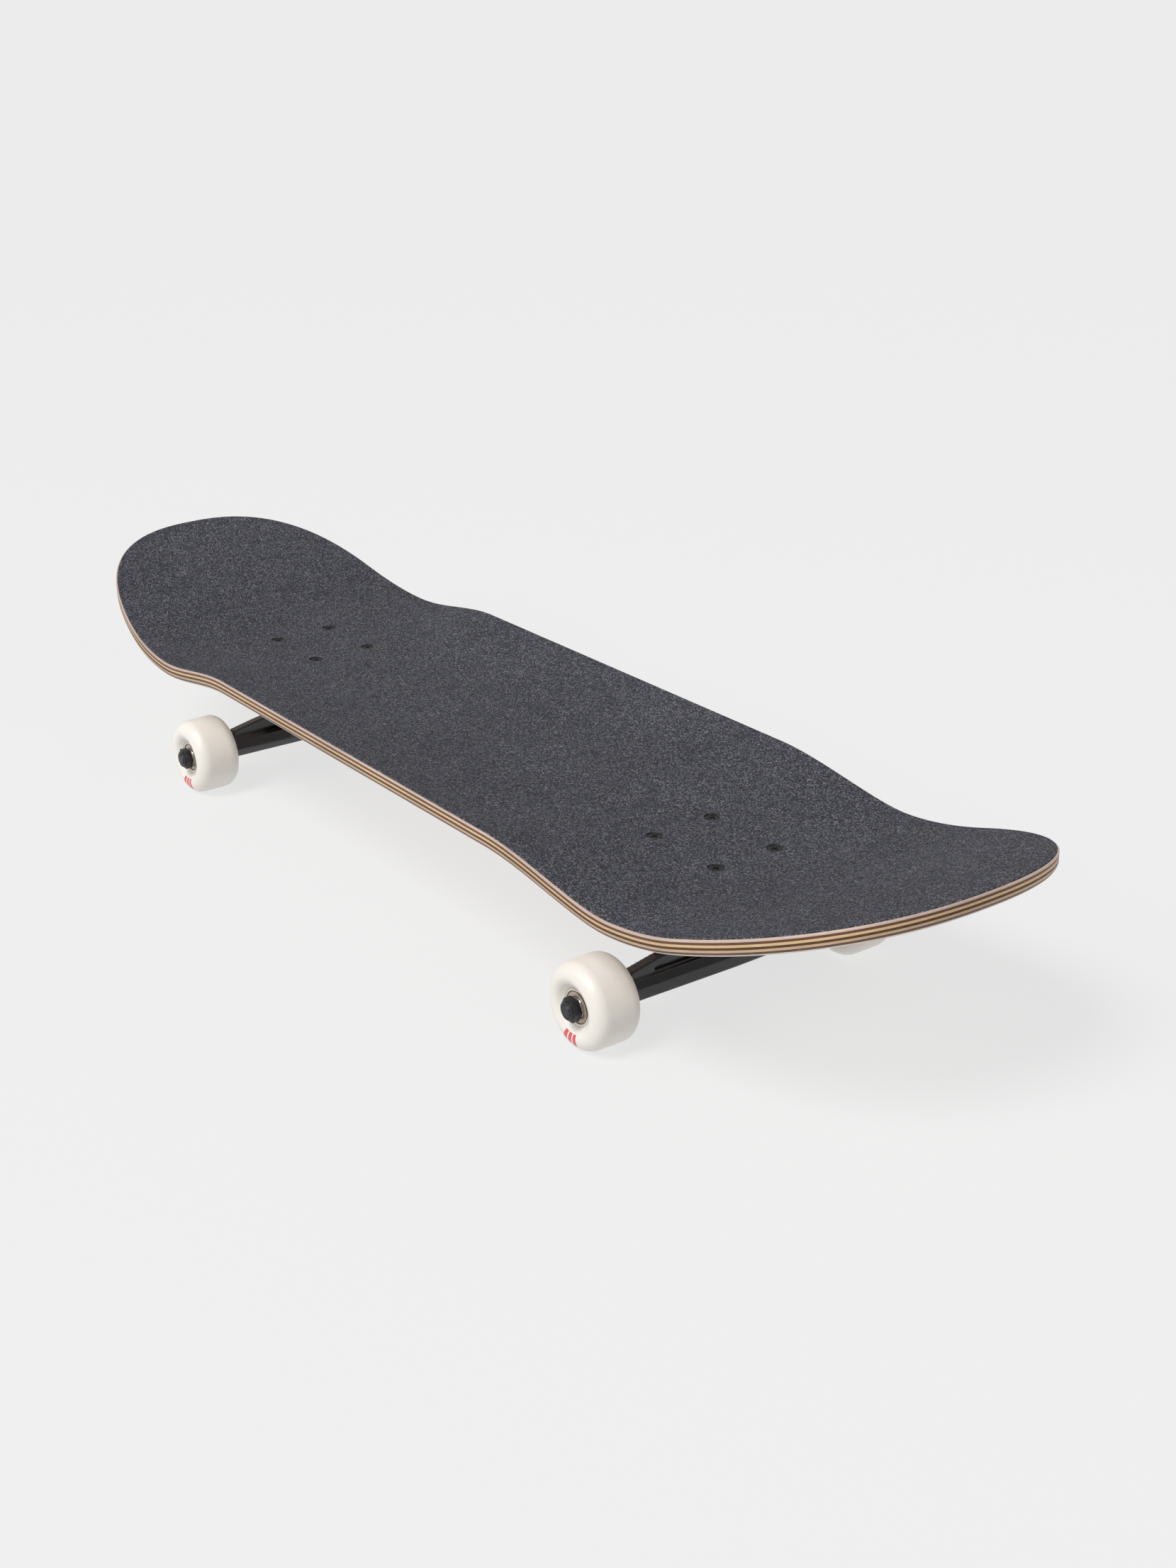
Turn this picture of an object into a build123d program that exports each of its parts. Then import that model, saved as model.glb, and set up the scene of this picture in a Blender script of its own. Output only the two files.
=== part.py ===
from build123d import *
import math
import os

os.makedirs("parts", exist_ok=True)

# ---- overall sizes (mm) ----
deck_width = 216.0
bolt_group_spacing = 434.6
nose_length = 206.0
tail_length = 199.8
wheel_radius = 25.5
wheel_width = 31.0
truck_height = 53.4
hanger_width = 157.8

# ---- deck ----
ply_count = 7
ply_thickness = 1.4
grip_thickness = 0.8
grip_inset = 1.3
top_edge_radius = 2.2
bottom_edge_radius = 4.0
concave_depth = 12.95
concave_power = 2.28
nose_kick_start = 22.8
nose_kick_radius = 237.0
nose_kick_angle = 18.45
tail_kick_start = 32.6
tail_kick_radius = 213.3
tail_kick_angle = 19.4
nose_fade = (-10.7, 114.7, 0.07)
tail_fade = (-10.7, 91.8, 0.147)
nose_outline = (81.3, 2.373, 2.294)
tail_outline = (-75.0, 4.273, 2.432)
surface_overhang = 6.0
surface_cells_x = 90
surface_cells_y = 18
outline_points = 12
outline_depth = 40.0
outline_height = 200.0

# ---- mounting hardware ----
hole_length = 53.975
hole_width = 41.275
bolt_radius = 2.4
bolt_length = 25.4
bolt_head_radius = 4.7
bolt_head_rise = 0.5
bolt_clearance = 0.2
countersink_clearance = 0.1
grip_hole_clearance = 0.35
recess_width = 1.0
recess_length = 5.2
recess_depth = 1.6
mount_nut_flats = 9.5
mount_nut_height = 6.0

# ---- truck ----
plate_length = 83.0
plate_width = 56.0
plate_thickness = 6.5
plate_corner = 9.0
plate_edge = 1.2
plate_seat_gap = 0.03
axle_offset = 11.8
axle_radius = 3.97
axle_length = 222.6
axle_chamfer = 0.8
ring_offset = -17.0
ring_depth = 40.0
ring_outer_radius = 18.0
ring_bore_radius = 8.0
ring_thickness = 7.0
seat_depth = 1.5
kingpin_lean = 25.0
kingpin_radius = 4.765
kingpin_head_radius = 7.0
kingpin_head_height = 6.5
kingpin_clearance = 0.2
bushing_radius = 12.2
bushing_fit = 0.3
board_bushing_height = 15.0
road_bushing_height = 12.0
road_bushing_end_radius = 9.2
washer_thickness = 1.5
board_washer_radius = 12.5
road_washer_radius = 10.6
kingpin_nut_flats = 14.3
kingpin_nut_height = 8.0
kingpin_tip = 2.0
boss_length = 15.0
boss_base_radius = 15.5
pivot_offset = 27.0
pivot_depth = 18.0
pivot_radius = 4.75
pivot_clearance = 0.05
pivot_mouth_clearance = 0.65
stem_length = 15.0
stem_root_length = 4.0
stem_root_radius = 5.5
cup_radius = 7.0
cup_mouth = 6.0
cup_depth = 6.0
housing_half_width = 10.5
web_thickness = 7.0
hanger_edge = 0.5
long_edge = 15.0
edge_reach = 20.0
web_back = -2.5
web_pocket_depth = 2.0

# ---- wheels and bearings ----
washer_gap = 1.0
bearing_radius = 11.0
bearing_bore = 4.0
bearing_width = 7.0
spacer_width = 10.0
spacer_radius = 5.2
ball_radius = 1.985
ball_pitch = 7.5
ball_count = 7
race_clearance = 0.05
outer_ring_inner = 9.1
inner_ring_outer = 5.95
ring_chamfer = 0.3
shield_inner = 6.3
shield_face = 0.35
shield_thickness = 0.35
cage_inner = 6.9
cage_outer = 8.1
cage_back = 2.6
cage_front = 1.0
pocket_clearance = 0.07
speed_washer_radius = 5.9
axle_nut_flats = 12.7
axle_nut_height = 4.5
axle_nut_collar = 1.3
axle_nut_collar_radius = 5.3
wheel_lip_radius = 8.0
wheel_core_radius = 9.5
wheel_recess_radius = 11.4

# ---- derived positions ----
deck_thickness = ply_count * ply_thickness
underside_z = wheel_radius + truck_height
deck_top_z = underside_z + deck_thickness
deck_shift = (tail_length - nose_length) / 2
front_x = deck_shift + bolt_group_spacing / 2
rear_x = deck_shift - bolt_group_spacing / 2
axle_z = -truck_height
hanger_face = hanger_width / 2
inner_bearing = hanger_face + washer_gap + bearing_width / 2
outer_bearing = inner_bearing + bearing_width + spacer_width
outer_face = outer_bearing + bearing_width / 2
nut_seat = outer_face + washer_gap
wheel_centre = (inner_bearing + outer_bearing) / 2

lean = math.radians(kingpin_lean)
tilt = math.atan2(ring_depth - pivot_depth, pivot_offset - ring_offset)
level = Plane.XY
ring_frame = Plane(
    origin=(ring_offset, 0, -ring_depth),
    x_dir=(math.cos(lean), 0, -math.sin(lean)),
    z_dir=(math.sin(lean), 0, math.cos(lean)),
)
pivot_frame = Plane(
    origin=(pivot_offset, 0, -pivot_depth),
    x_dir=(math.sin(tilt), 0, -math.cos(tilt)),
    z_dir=(math.cos(tilt), 0, math.sin(tilt)),
)
front_place = Location((front_x, 0, underside_z))
rear_place = Location((rear_x, 0, underside_z), (0, 0, 180))
trucks = {"front": front_place, "rear": rear_place}
sides = {"left": 1, "right": -1}


# ---- small helpers, each used inside an open builder ----
def rod(frame, low, high, radius, mode=Mode.ADD):
    with Locations(frame.location * Pos(0, 0, low)):
        Cylinder(radius, high - low, align=(Align.CENTER, Align.CENTER, Align.MIN), mode=mode)


def taper(frame, low, high, low_radius, high_radius, mode=Mode.ADD):
    with Locations(frame.location * Pos(0, 0, low)):
        Cone(low_radius, high_radius, high - low, align=(Align.CENTER, Align.CENTER, Align.MIN), mode=mode)


def hexagon(frame, low, high, flats):
    with BuildSketch(frame.offset(low)) as section:
        RegularPolygon(flats / 2, 6, major_radius=False)
    extrude(section.sketch, amount=high - low)


def turned(frame, points):
    side_on = Plane(origin=frame.origin, x_dir=frame.x_dir, z_dir=-frame.y_dir)
    with BuildSketch(side_on) as section:
        with BuildLine():
            Polyline(*points, close=True)
        make_face()
    revolve(section.sketch, axis=Axis(frame.origin, frame.z_dir))


def bolt_spots(z):
    half_x = hole_length / 2
    half_y = hole_width / 2
    return [(sx * half_x, sy * half_y, z) for sx in (-1, 1) for sy in (-1, 1)]


def save(shape, label):
    shape.label = label
    export_step(shape, f"parts/{label}.step")


# ---- deck surface and outline ----
def kick_rise(run, radius, angle):
    run = max(run, 0.0)
    bend = radius * math.sin(math.radians(angle))
    if run < bend:
        return radius - math.sqrt(radius * radius - run * run)
    flat = (run - bend) * math.tan(math.radians(angle))
    return radius * (1 - math.cos(math.radians(angle))) + flat


def concave_share(x):
    centre, width, tip = nose_fade if x > 0 else tail_fade
    t = (abs(x) - bolt_group_spacing / 2 - centre) / width + 0.5
    t = min(max(t, 0.0), 1.0)
    return 1 - (1 - tip) * t * t * (3 - 2 * t)


def deck_rise(x, y):
    run = x - deck_shift
    reach = bolt_group_spacing / 2
    nose = kick_rise(run - reach - nose_kick_start, nose_kick_radius, nose_kick_angle)
    tail = kick_rise(-run - reach - tail_kick_start, tail_kick_radius, tail_kick_angle)
    cup = concave_depth * concave_share(run) * abs(2 * y / deck_width) ** concave_power
    return nose + tail + cup


def deck_sheet(z):
    x_low = rear_x - tail_length - surface_overhang
    x_step = (front_x + nose_length + surface_overhang - x_low) / surface_cells_x
    y_low = -deck_width / 2 - surface_overhang
    y_step = -2 * y_low / surface_cells_y
    rows = []
    for i in range(surface_cells_x + 1):
        x = x_low + i * x_step
        ys = [y_low + j * y_step for j in range(surface_cells_y + 1)]
        rows.append([Vector(x, y, z + deck_rise(x, y)) for y in ys])
    return Face.make_surface_from_array_of_points(rows, tol=0.02, min_deg=3, max_deg=5)


def end_curve(sign, start, length, x_power, y_power, half_width):
    half = []
    for k in range(outline_points):
        t = math.pi / 2 * k / outline_points
        x = sign * (start + length * math.sin(t) ** (2 / x_power))
        half.append((deck_shift + x, half_width * math.cos(t) ** (2 / y_power)))
    tip = [(deck_shift + sign * (start + length), 0.0)]
    return half + tip + [(x, -y) for x, y in reversed(half)]


def outline_prism(inset):
    reach = bolt_group_spacing / 2
    half_width = deck_width / 2 - inset
    run, x_power, y_power = nose_outline
    nose = end_curve(1, reach + run, nose_length - run - inset, x_power, y_power, half_width)
    run, x_power, y_power = tail_outline
    tail = end_curve(-1, reach + run, tail_length - run - inset, x_power, y_power, half_width)
    tail.reverse()
    with BuildPart() as prism:
        with BuildSketch(level.offset(underside_z - outline_depth)):
            with BuildLine():
                Spline(*nose, tangents=((1, 0), (-1, 0)))
                Line(nose[-1], tail[0])
                Spline(*tail, tangents=((-1, 0), (1, 0)))
                Line(tail[-1], nose[0])
            make_face()
        extrude(amount=outline_height)
    return prism.part


def edge_inset(depth):
    top_gap = max(top_edge_radius - depth, 0.0)
    low_gap = max(bottom_edge_radius - (deck_thickness - depth), 0.0)
    top = top_edge_radius - math.sqrt(top_edge_radius**2 - top_gap**2)
    low = bottom_edge_radius - math.sqrt(bottom_edge_radius**2 - low_gap**2)
    return top + low


def deck_layer(bottom_z, thickness, inset, hole_radius):
    with BuildPart() as layer:
        extrude(to_extrude=deck_sheet(bottom_z), amount=thickness, dir=(0, 0, 1))
        add(outline_prism(inset), mode=Mode.INTERSECT)
        for x in (front_x, rear_x):
            for px, py, pz in bolt_spots(0):
                spot = Plane(origin=(x + px, py, bottom_z))
                rod(spot, -thickness, 3 * thickness, hole_radius, Mode.SUBTRACT)
    return layer.part


head_top = deck_top_z + bolt_head_rise
head_height = bolt_head_radius - bolt_radius
for number in range(1, ply_count + 1):
    layer_bottom = deck_top_z - number * ply_thickness
    inset = edge_inset((number - 0.5) * ply_thickness)
    hole = bolt_radius + bolt_clearance
    sink_low = bolt_radius + countersink_clearance
    sink_high = bolt_head_radius + countersink_clearance
    with BuildPart() as ply:
        add(deck_layer(layer_bottom, ply_thickness, inset, hole))
        if number <= 2:
            for x in (front_x, rear_x):
                for px, py, pz in bolt_spots(0):
                    spot = Plane(origin=(x + px, py, head_top - head_height))
                    taper(spot, 0, head_height, sink_low, sink_high, Mode.SUBTRACT)
    save(ply.part, f"ply_{number}")

with BuildPart() as grip_tape:
    add(deck_layer(deck_top_z, grip_thickness, grip_inset, bolt_head_radius + grip_hole_clearance))
save(grip_tape.part, "grip_tape")


# ---- mounting hardware, in each truck's own frame ----
with BuildPart() as mounting_bolts:
    top = deck_thickness + bolt_head_rise
    for spot in bolt_spots(top):
        down = Plane(origin=spot, x_dir=(1, 0, 0), z_dir=(0, 0, -1))
        taper(down, 0, head_height, bolt_head_radius, bolt_radius)
        rod(down, head_height, bolt_length, bolt_radius)
        with Locations(spot):
            Box(recess_length, recess_width, 2 * recess_depth, mode=Mode.SUBTRACT)
            Box(recess_width, recess_length, 2 * recess_depth, mode=Mode.SUBTRACT)

with BuildPart() as mounting_nuts:
    for spot in bolt_spots(-plate_thickness):
        down = Plane(origin=spot, x_dir=(1, 0, 0), z_dir=(0, 0, -1))
        hexagon(down, 0, mount_nut_height, mount_nut_flats)
        rod(down, 0, mount_nut_height, bolt_radius, Mode.SUBTRACT)


# ---- truck pieces on the kingpin ----
seat = ring_thickness / 2 - seat_depth
washer_low = seat + board_bushing_height
boss_seat = washer_low + washer_thickness
head_low = boss_seat + boss_length
road_washer_high = -seat - road_bushing_height
nut_high = road_washer_high - washer_thickness
nut_low = nut_high - kingpin_nut_height
kingpin_hole = kingpin_radius + kingpin_clearance

with BuildPart() as kingpin:
    rod(ring_frame, nut_low - kingpin_tip, head_low, kingpin_radius)
    rod(ring_frame, head_low, head_low + kingpin_head_height, kingpin_head_radius)

with BuildPart() as kingpin_nut:
    hexagon(ring_frame, nut_low, nut_high, kingpin_nut_flats)
    rod(ring_frame, nut_low, nut_high, kingpin_radius, Mode.SUBTRACT)

with BuildPart() as board_washer:
    rod(ring_frame, washer_low, boss_seat, board_washer_radius)
    rod(ring_frame, washer_low, boss_seat, kingpin_hole, Mode.SUBTRACT)

with BuildPart() as road_washer:
    rod(ring_frame, nut_high, road_washer_high, road_washer_radius)
    rod(ring_frame, nut_high, road_washer_high, kingpin_hole, Mode.SUBTRACT)

bushing_waist = bushing_radius - 0.7
with BuildPart() as board_bushing:
    shape = [
        (kingpin_hole, seat),
        (bushing_radius, seat),
        (bushing_radius, seat + 0.15 * board_bushing_height),
        (bushing_waist, seat + 0.5 * board_bushing_height),
        (bushing_radius, seat + 0.85 * board_bushing_height),
        (bushing_radius, washer_low),
        (kingpin_hole, washer_low),
    ]
    turned(ring_frame, shape)

with BuildPart() as road_bushing:
    shape = [
        (kingpin_hole, -seat),
        (bushing_radius, -seat),
        (bushing_radius, -seat - 0.25 * road_bushing_height),
        (road_bushing_end_radius, road_washer_high),
        (kingpin_hole, road_washer_high),
    ]
    turned(ring_frame, shape)

# ---- baseplate and pivot cup ----
housing_profile = [
    (11.0, -plate_thickness + 0.5),
    (16.3, -14.6),
    (28.5, -29.1),
    (38.5, -22.0),
    (plate_length / 2, -12.0),
    (plate_length / 2, -plate_thickness + 0.5),
]
with BuildPart() as baseplate:
    with BuildSketch(level):
        RectangleRounded(plate_length, plate_width, plate_corner)
    extrude(amount=-plate_thickness)
    fillet(baseplate.faces().sort_by(Axis.Z)[0].edges(), radius=plate_edge)
    with BuildSketch(Plane.XZ.offset(-housing_half_width)):
        with BuildLine():
            Polyline(*housing_profile, close=True)
        make_face()
    extrude(amount=2 * housing_half_width)
    taper(ring_frame, boss_seat, boss_seat + 20, board_washer_radius, boss_base_radius)
    rod(ring_frame, boss_seat, head_low, kingpin_hole, Mode.SUBTRACT)
    head_hole = kingpin_head_radius + kingpin_clearance
    rod(ring_frame, head_low, head_low + 20, head_hole, Mode.SUBTRACT)
    rod(pivot_frame, -2 * cup_mouth, cup_depth, cup_radius, Mode.SUBTRACT)
    for spot in bolt_spots(0):
        rod(Plane(origin=spot), -2 * plate_thickness, 1, bolt_radius + bolt_clearance, Mode.SUBTRACT)
    with Locations((0, 0, -plate_seat_gap)):
        above = (Align.CENTER, Align.CENTER, Align.MIN)
        Box(2 * plate_length, 2 * plate_width, plate_width, align=above, mode=Mode.SUBTRACT)

with BuildPart() as pivot_cup:
    rod(pivot_frame, -cup_mouth, cup_depth, cup_radius)
    with Locations(pivot_frame.location):
        Sphere(pivot_radius + pivot_clearance, mode=Mode.SUBTRACT)
    mouth = pivot_radius + pivot_mouth_clearance
    taper(pivot_frame, -cup_mouth, 0, mouth, pivot_radius + pivot_clearance, Mode.SUBTRACT)

# ---- hanger ----
# housing sections, as points from the axle's centre: outward, then up
end_section = [
    (-5.0, -6.3),
    (4.5, -6.7),
    (7.6, -4.8),
    (7.6, 1.6),
    (5.5, 6.6),
    (-1.0, 8.4),
    (-6.5, 5.8),
    (-8.2, -0.4),
]
mid_section = [
    (-8.5, -6.2),
    (5.5, -6.8),
    (9.0, -4.8),
    (9.0, 2.0),
    (6.0, 7.0),
    (-1.0, 10.5),
    (-9.0, 7.0),
    (-11.5, -0.8),
]
# plates, as half outlines: along the plate, then across the board
web_outline = [(1.0, 70.0), (11.5, 70.0), (15.0, 52.0), (18.5, 31.0), (24.0, 13.0), (28.0, 8.0)]
pocket_outline = [(8.5, 58.0), (12.0, 47.0), (16.0, 28.0), (21.0, 10.0), (22.0, 7.0)]
yoke_outline = [(0.0, ring_outer_radius), (14.0, 22.0), (31.0, 38.0)]


def half_housing(side):
    with BuildPart() as half:
        for y, section in ((0, mid_section), (side * hanger_face, end_section)):
            with BuildSketch(Plane(origin=(axle_offset, y, axle_z), x_dir=(1, 0, 0), z_dir=(0, -1, 0))):
                with BuildLine():
                    Polyline(*section, close=True)
                make_face()
        loft(ruled=True)
    return half.part


def plate(frame, points, thickness, mode=Mode.ADD):
    mirrored = [(x, -y) for x, y in reversed(points)]
    with BuildSketch(frame) as section:
        with BuildLine():
            Polyline(*points, *mirrored, close=True)
        make_face()
    extrude(section.sketch, amount=thickness, mode=mode)


web_frame = Plane(origin=(axle_offset + web_back, 0, axle_z), x_dir=(0, 0, 1), z_dir=(1, 0, 0))
pocket_frame = web_frame.offset(web_thickness - web_pocket_depth)
axle_frame = Plane(origin=(axle_offset, 0, axle_z), x_dir=(1, 0, 0), z_dir=(0, 1, 0))
with BuildPart() as hanger:
    add(half_housing(1))
    add(half_housing(-1))
    plate(web_frame, web_outline, web_thickness)
    plate(pocket_frame, pocket_outline, 2 * web_pocket_depth, Mode.SUBTRACT)
    plate(ring_frame.offset(-ring_thickness / 2), yoke_outline, ring_thickness)
    rod(ring_frame, -ring_thickness / 2, ring_thickness / 2, ring_outer_radius)
    rod(pivot_frame, -stem_length, 0, pivot_radius)
    with Locations(pivot_frame.location):
        Sphere(pivot_radius)
    root_low = -stem_length - stem_root_length
    root_high = -stem_length + stem_root_length
    taper(pivot_frame, root_low, root_high, stem_root_radius, pivot_radius)
    rod(ring_frame, -ring_thickness, ring_thickness, ring_bore_radius, Mode.SUBTRACT)
    seat_radius = bushing_radius + bushing_fit
    rod(ring_frame, seat, 3 * seat, seat_radius, Mode.SUBTRACT)
    rod(ring_frame, -3 * seat, -seat, seat_radius, Mode.SUBTRACT)
    rod(axle_frame, -hanger_width, hanger_width, axle_radius, Mode.SUBTRACT)

with BuildPart() as rounded_hanger:
    add(hanger.part)
    ridges = [e for e in rounded_hanger.edges() if e.length > long_edge and abs(e.center().Y) > edge_reach]
    fillet(ridges, radius=hanger_edge)

with BuildPart() as axle:
    rod(axle_frame, -axle_length / 2, axle_length / 2, axle_radius)
    chamfer(axle.edges().filter_by(GeomType.CIRCLE), length=axle_chamfer)

with BuildPart() as axle_nuts:
    for y in (-1, 1):
        out = Plane(origin=(axle_offset, y * nut_seat, axle_z), x_dir=(1, 0, 0), z_dir=(0, y, 0))
        hexagon(out, 0, axle_nut_height, axle_nut_flats)
        rod(out, 0, axle_nut_height + axle_nut_collar, axle_nut_collar_radius)
        rod(out, 0, 2 * axle_nut_height, axle_radius, Mode.SUBTRACT)

with BuildPart() as speed_washers:
    for y in (-1, 1):
        for low in (hanger_face, outer_face):
            out = Plane(origin=(axle_offset, y * low, axle_z), x_dir=(1, 0, 0), z_dir=(0, y, 0))
            rod(out, 0, washer_gap, speed_washer_radius)
            rod(out, 0, washer_gap, axle_radius, Mode.SUBTRACT)

truck_pieces = {
    "mounting_bolts": mounting_bolts.part,
    "mounting_nuts": mounting_nuts.part,
    "baseplate": baseplate.part,
    "pivot_cup": pivot_cup.part,
    "kingpin": kingpin.part,
    "kingpin_nut": kingpin_nut.part,
    "board_washer": board_washer.part,
    "board_bushing": board_bushing.part,
    "road_bushing": road_bushing.part,
    "road_washer": road_washer.part,
    "hanger": rounded_hanger.part,
    "axle": axle.part,
    "axle_nuts": axle_nuts.part,
    "speed_washers": speed_washers.part,
}
for truck, place in trucks.items():
    for piece, shape in truck_pieces.items():
        save(shape.moved(place), f"{truck}_{piece}")


# ---- wheels and bearings ----
half_width = wheel_width / 2
tread_half = half_width - wheel_lip_radius
face_radius = wheel_radius - wheel_lip_radius
bearing_half = bearing_width / 2
seat_low = spacer_width / 2
seat_high = seat_low + bearing_width


wheel_dish = (14.2, half_width - 0.8)
shield_low = bearing_half - shield_face - shield_thickness


def wheel_edge(sign):
    reach = wheel_lip_radius * math.sin(math.pi / 4)
    Polyline(
        (wheel_core_radius, 0),
        (wheel_core_radius, sign * seat_low),
        (bearing_radius, sign * seat_low),
        (bearing_radius, sign * seat_high),
        (wheel_recess_radius, sign * seat_high),
    )
    dish = [
        (wheel_recess_radius, sign * seat_high),
        (wheel_dish[0], sign * wheel_dish[1]),
        (face_radius, sign * half_width),
    ]
    Spline(*dish, tangents=((0.35, sign), (1, 0)))
    lip_middle = (face_radius + reach, sign * (tread_half + reach))
    ThreePointArc(dish[-1], lip_middle, (wheel_radius, sign * tread_half))
    Line((wheel_radius, sign * tread_half), (wheel_radius, 0))


def tube(frame, low, high, inner, outer):
    edge = ring_chamfer if outer - inner > 3 * ring_chamfer else 0.0
    shape = [(inner, low), (outer - edge, low)]
    if edge:
        shape += [(outer, low + edge), (outer, high - edge), (outer - edge, high)]
    else:
        shape += [(outer, high)]
    turned(frame, shape + [(inner, high)])


def raceway(frame):
    with Locations(frame.location):
        Torus(ball_pitch, ball_radius + race_clearance, mode=Mode.SUBTRACT)


def wheel_pieces(frame):
    bearings = [frame.offset(z) for z in (-wheel_middle, wheel_middle)]
    side_on = Plane(origin=frame.origin, x_dir=frame.x_dir, z_dir=-frame.y_dir)
    with BuildPart() as wheel:
        with BuildSketch(side_on) as section:
            with BuildLine():
                wheel_edge(1)
                wheel_edge(-1)
            make_face()
        revolve(axis=Axis(frame.origin, frame.z_dir))
    with BuildPart() as outer_rings:
        for bearing in bearings:
            tube(bearing, -bearing_half, bearing_half, outer_ring_inner, bearing_radius)
            raceway(bearing)
    with BuildPart() as inner_rings:
        for bearing in bearings:
            tube(bearing, -bearing_half, bearing_half, bearing_bore, inner_ring_outer)
            raceway(bearing)
    with BuildPart() as shields:
        for bearing in bearings:
            for low in (shield_low, -shield_low - shield_thickness):
                rod(bearing, low, low + shield_thickness, outer_ring_inner)
                rod(bearing, low, low + shield_thickness, shield_inner, Mode.SUBTRACT)
    with BuildPart() as cages:
        for bearing in bearings:
            rod(bearing, -cage_front, cage_back, cage_outer)
            rod(bearing, -cage_front, cage_back, cage_inner, Mode.SUBTRACT)
            with Locations(bearing.location):
                with PolarLocations(ball_pitch, ball_count):
                    Sphere(ball_radius + pocket_clearance, mode=Mode.SUBTRACT)
    with BuildPart() as balls:
        for bearing in bearings:
            with Locations(bearing.location):
                with PolarLocations(ball_pitch, ball_count):
                    Sphere(ball_radius)
    with BuildPart() as spacer:
        rod(frame, -seat_low, seat_low, spacer_radius)
        rod(frame, -seat_low, seat_low, bearing_bore, Mode.SUBTRACT)
    rolling = Compound(children=balls.part.solids() + cages.part.solids())
    return {
        "wheel": wheel.part,
        "bearing_outer_rings": outer_rings.part,
        "bearing_inner_rings": inner_rings.part,
        "bearing_shields": shields.part,
        "balls_and_cages": rolling,
        "bearing_spacer": spacer.part,
    }


wheel_middle = (outer_bearing - inner_bearing) / 2
for truck, x_sign, truck_x in (("front", 1, front_x), ("rear", -1, rear_x)):
    for side, y_sign in sides.items():
        centre = (truck_x + x_sign * axle_offset, y_sign * wheel_centre, wheel_radius)
        hub = Plane(origin=centre, x_dir=(0, 0, 1), z_dir=(0, y_sign, 0))
        for piece, shape in wheel_pieces(hub).items():
            save(shape, f"{truck}_{side}_{piece}")
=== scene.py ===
import math

import bmesh
import bpy
from mathutils import Matrix, Quaternion, Vector


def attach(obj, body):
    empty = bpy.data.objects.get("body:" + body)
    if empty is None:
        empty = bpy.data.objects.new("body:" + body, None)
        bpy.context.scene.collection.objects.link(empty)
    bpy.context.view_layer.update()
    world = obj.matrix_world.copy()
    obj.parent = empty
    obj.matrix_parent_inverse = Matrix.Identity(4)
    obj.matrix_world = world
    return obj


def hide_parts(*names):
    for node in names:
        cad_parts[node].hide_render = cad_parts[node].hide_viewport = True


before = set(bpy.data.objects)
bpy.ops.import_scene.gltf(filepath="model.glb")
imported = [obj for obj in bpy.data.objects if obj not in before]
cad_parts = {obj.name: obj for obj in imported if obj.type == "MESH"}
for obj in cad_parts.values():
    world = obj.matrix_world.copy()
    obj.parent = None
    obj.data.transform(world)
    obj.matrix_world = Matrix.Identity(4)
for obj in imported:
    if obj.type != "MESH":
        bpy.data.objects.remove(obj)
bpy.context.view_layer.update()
MM = 0.001

# ---------------------------------------------------------------- camera
CAMERA_AZIMUTH = 56.172
CAMERA_ELEVATION = 23.186
CAMERA_ROLL = -1.877
CAMERA_DISTANCE = 1.25294
CAMERA_TARGET = Vector((0.10540, -0.05346, 0.08950))
CAMERA_LENS = 49.845
CAMERA_SHIFT = (0.0418, 0.0132)

azimuth = math.radians(CAMERA_AZIMUTH)
elevation = math.radians(CAMERA_ELEVATION)
level_reach = math.cos(elevation)
away = Vector((math.sin(azimuth) * level_reach, -math.cos(azimuth) * level_reach, math.sin(elevation)))
camera_data = bpy.data.cameras.new("studio_camera")
camera_data.lens = CAMERA_LENS
camera_data.sensor_width = 36.0
camera_data.shift_x, camera_data.shift_y = CAMERA_SHIFT
camera_data.clip_start = 0.01
camera_data.clip_end = 100.0
camera = bpy.data.objects.new("studio_camera", camera_data)
bpy.context.scene.collection.objects.link(camera)
camera.location = CAMERA_TARGET + away * CAMERA_DISTANCE
camera.rotation_mode = "QUATERNION"
roll = Quaternion((0, 0, 1), math.radians(CAMERA_ROLL))
camera.rotation_quaternion = (-away).to_track_quat("-Z", "Y") @ roll
bpy.context.scene.camera = camera

# ---------------------------------------------------------------- the board's own sizes, in mm
BOARD_WIDTH = 216.0
BOLT_GROUPS = 434.6
NOSE_LENGTH = 206.0
TAIL_LENGTH = 199.8
BOARD_SHIFT = (TAIL_LENGTH - NOSE_LENGTH) / 2
PLY_COUNT = 7
PLY = 1.4
BOARD_THICKNESS = PLY * PLY_COUNT
GRIP = 0.8
BOARD_TOP = 88.7
TOP_ROUND = 0.95
BOTTOM_ROUND = 4.0
GRIP_INSET = 0.98
EDGE_TRIM = 0.03
CONCAVE_DEPTH = 12.95
CONCAVE_POWER = 2.28
# kick: start past the bolts, radius, angle; fade of the concave: centre, width, share left at the tip;
# curve of the outline: start past the bolts, power along the board, power across it
NOSE_END = {
    "kick": (22.8, 237.0, 18.45),
    "fade": (-10.7, 114.7, 0.07),
    "curve": (81.3, 2.373, 2.294),
    "reach": NOSE_LENGTH,
}
TAIL_END = {
    "kick": (32.6, 213.3, 19.4),
    "fade": (-10.7, 91.8, 0.147),
    "curve": (-75.0, 4.273, 2.432),
    "reach": TAIL_LENGTH,
}
HALF_BOLTS = BOLT_GROUPS / 2
HOLE_LENGTH = 53.975
HOLE_WIDTH = 41.275
PLY_HOLE = 2.6
GRIP_HOLE = 5.0
WHEEL_RADIUS = 25.5
WHEEL_CENTRE_Y = 91.9
AXLE_OFFSET = 11.8
AXLE_X = {"front": BOARD_SHIFT + HALF_BOLTS + AXLE_OFFSET, "rear": BOARD_SHIFT - HALF_BOLTS - AXLE_OFFSET}
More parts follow.
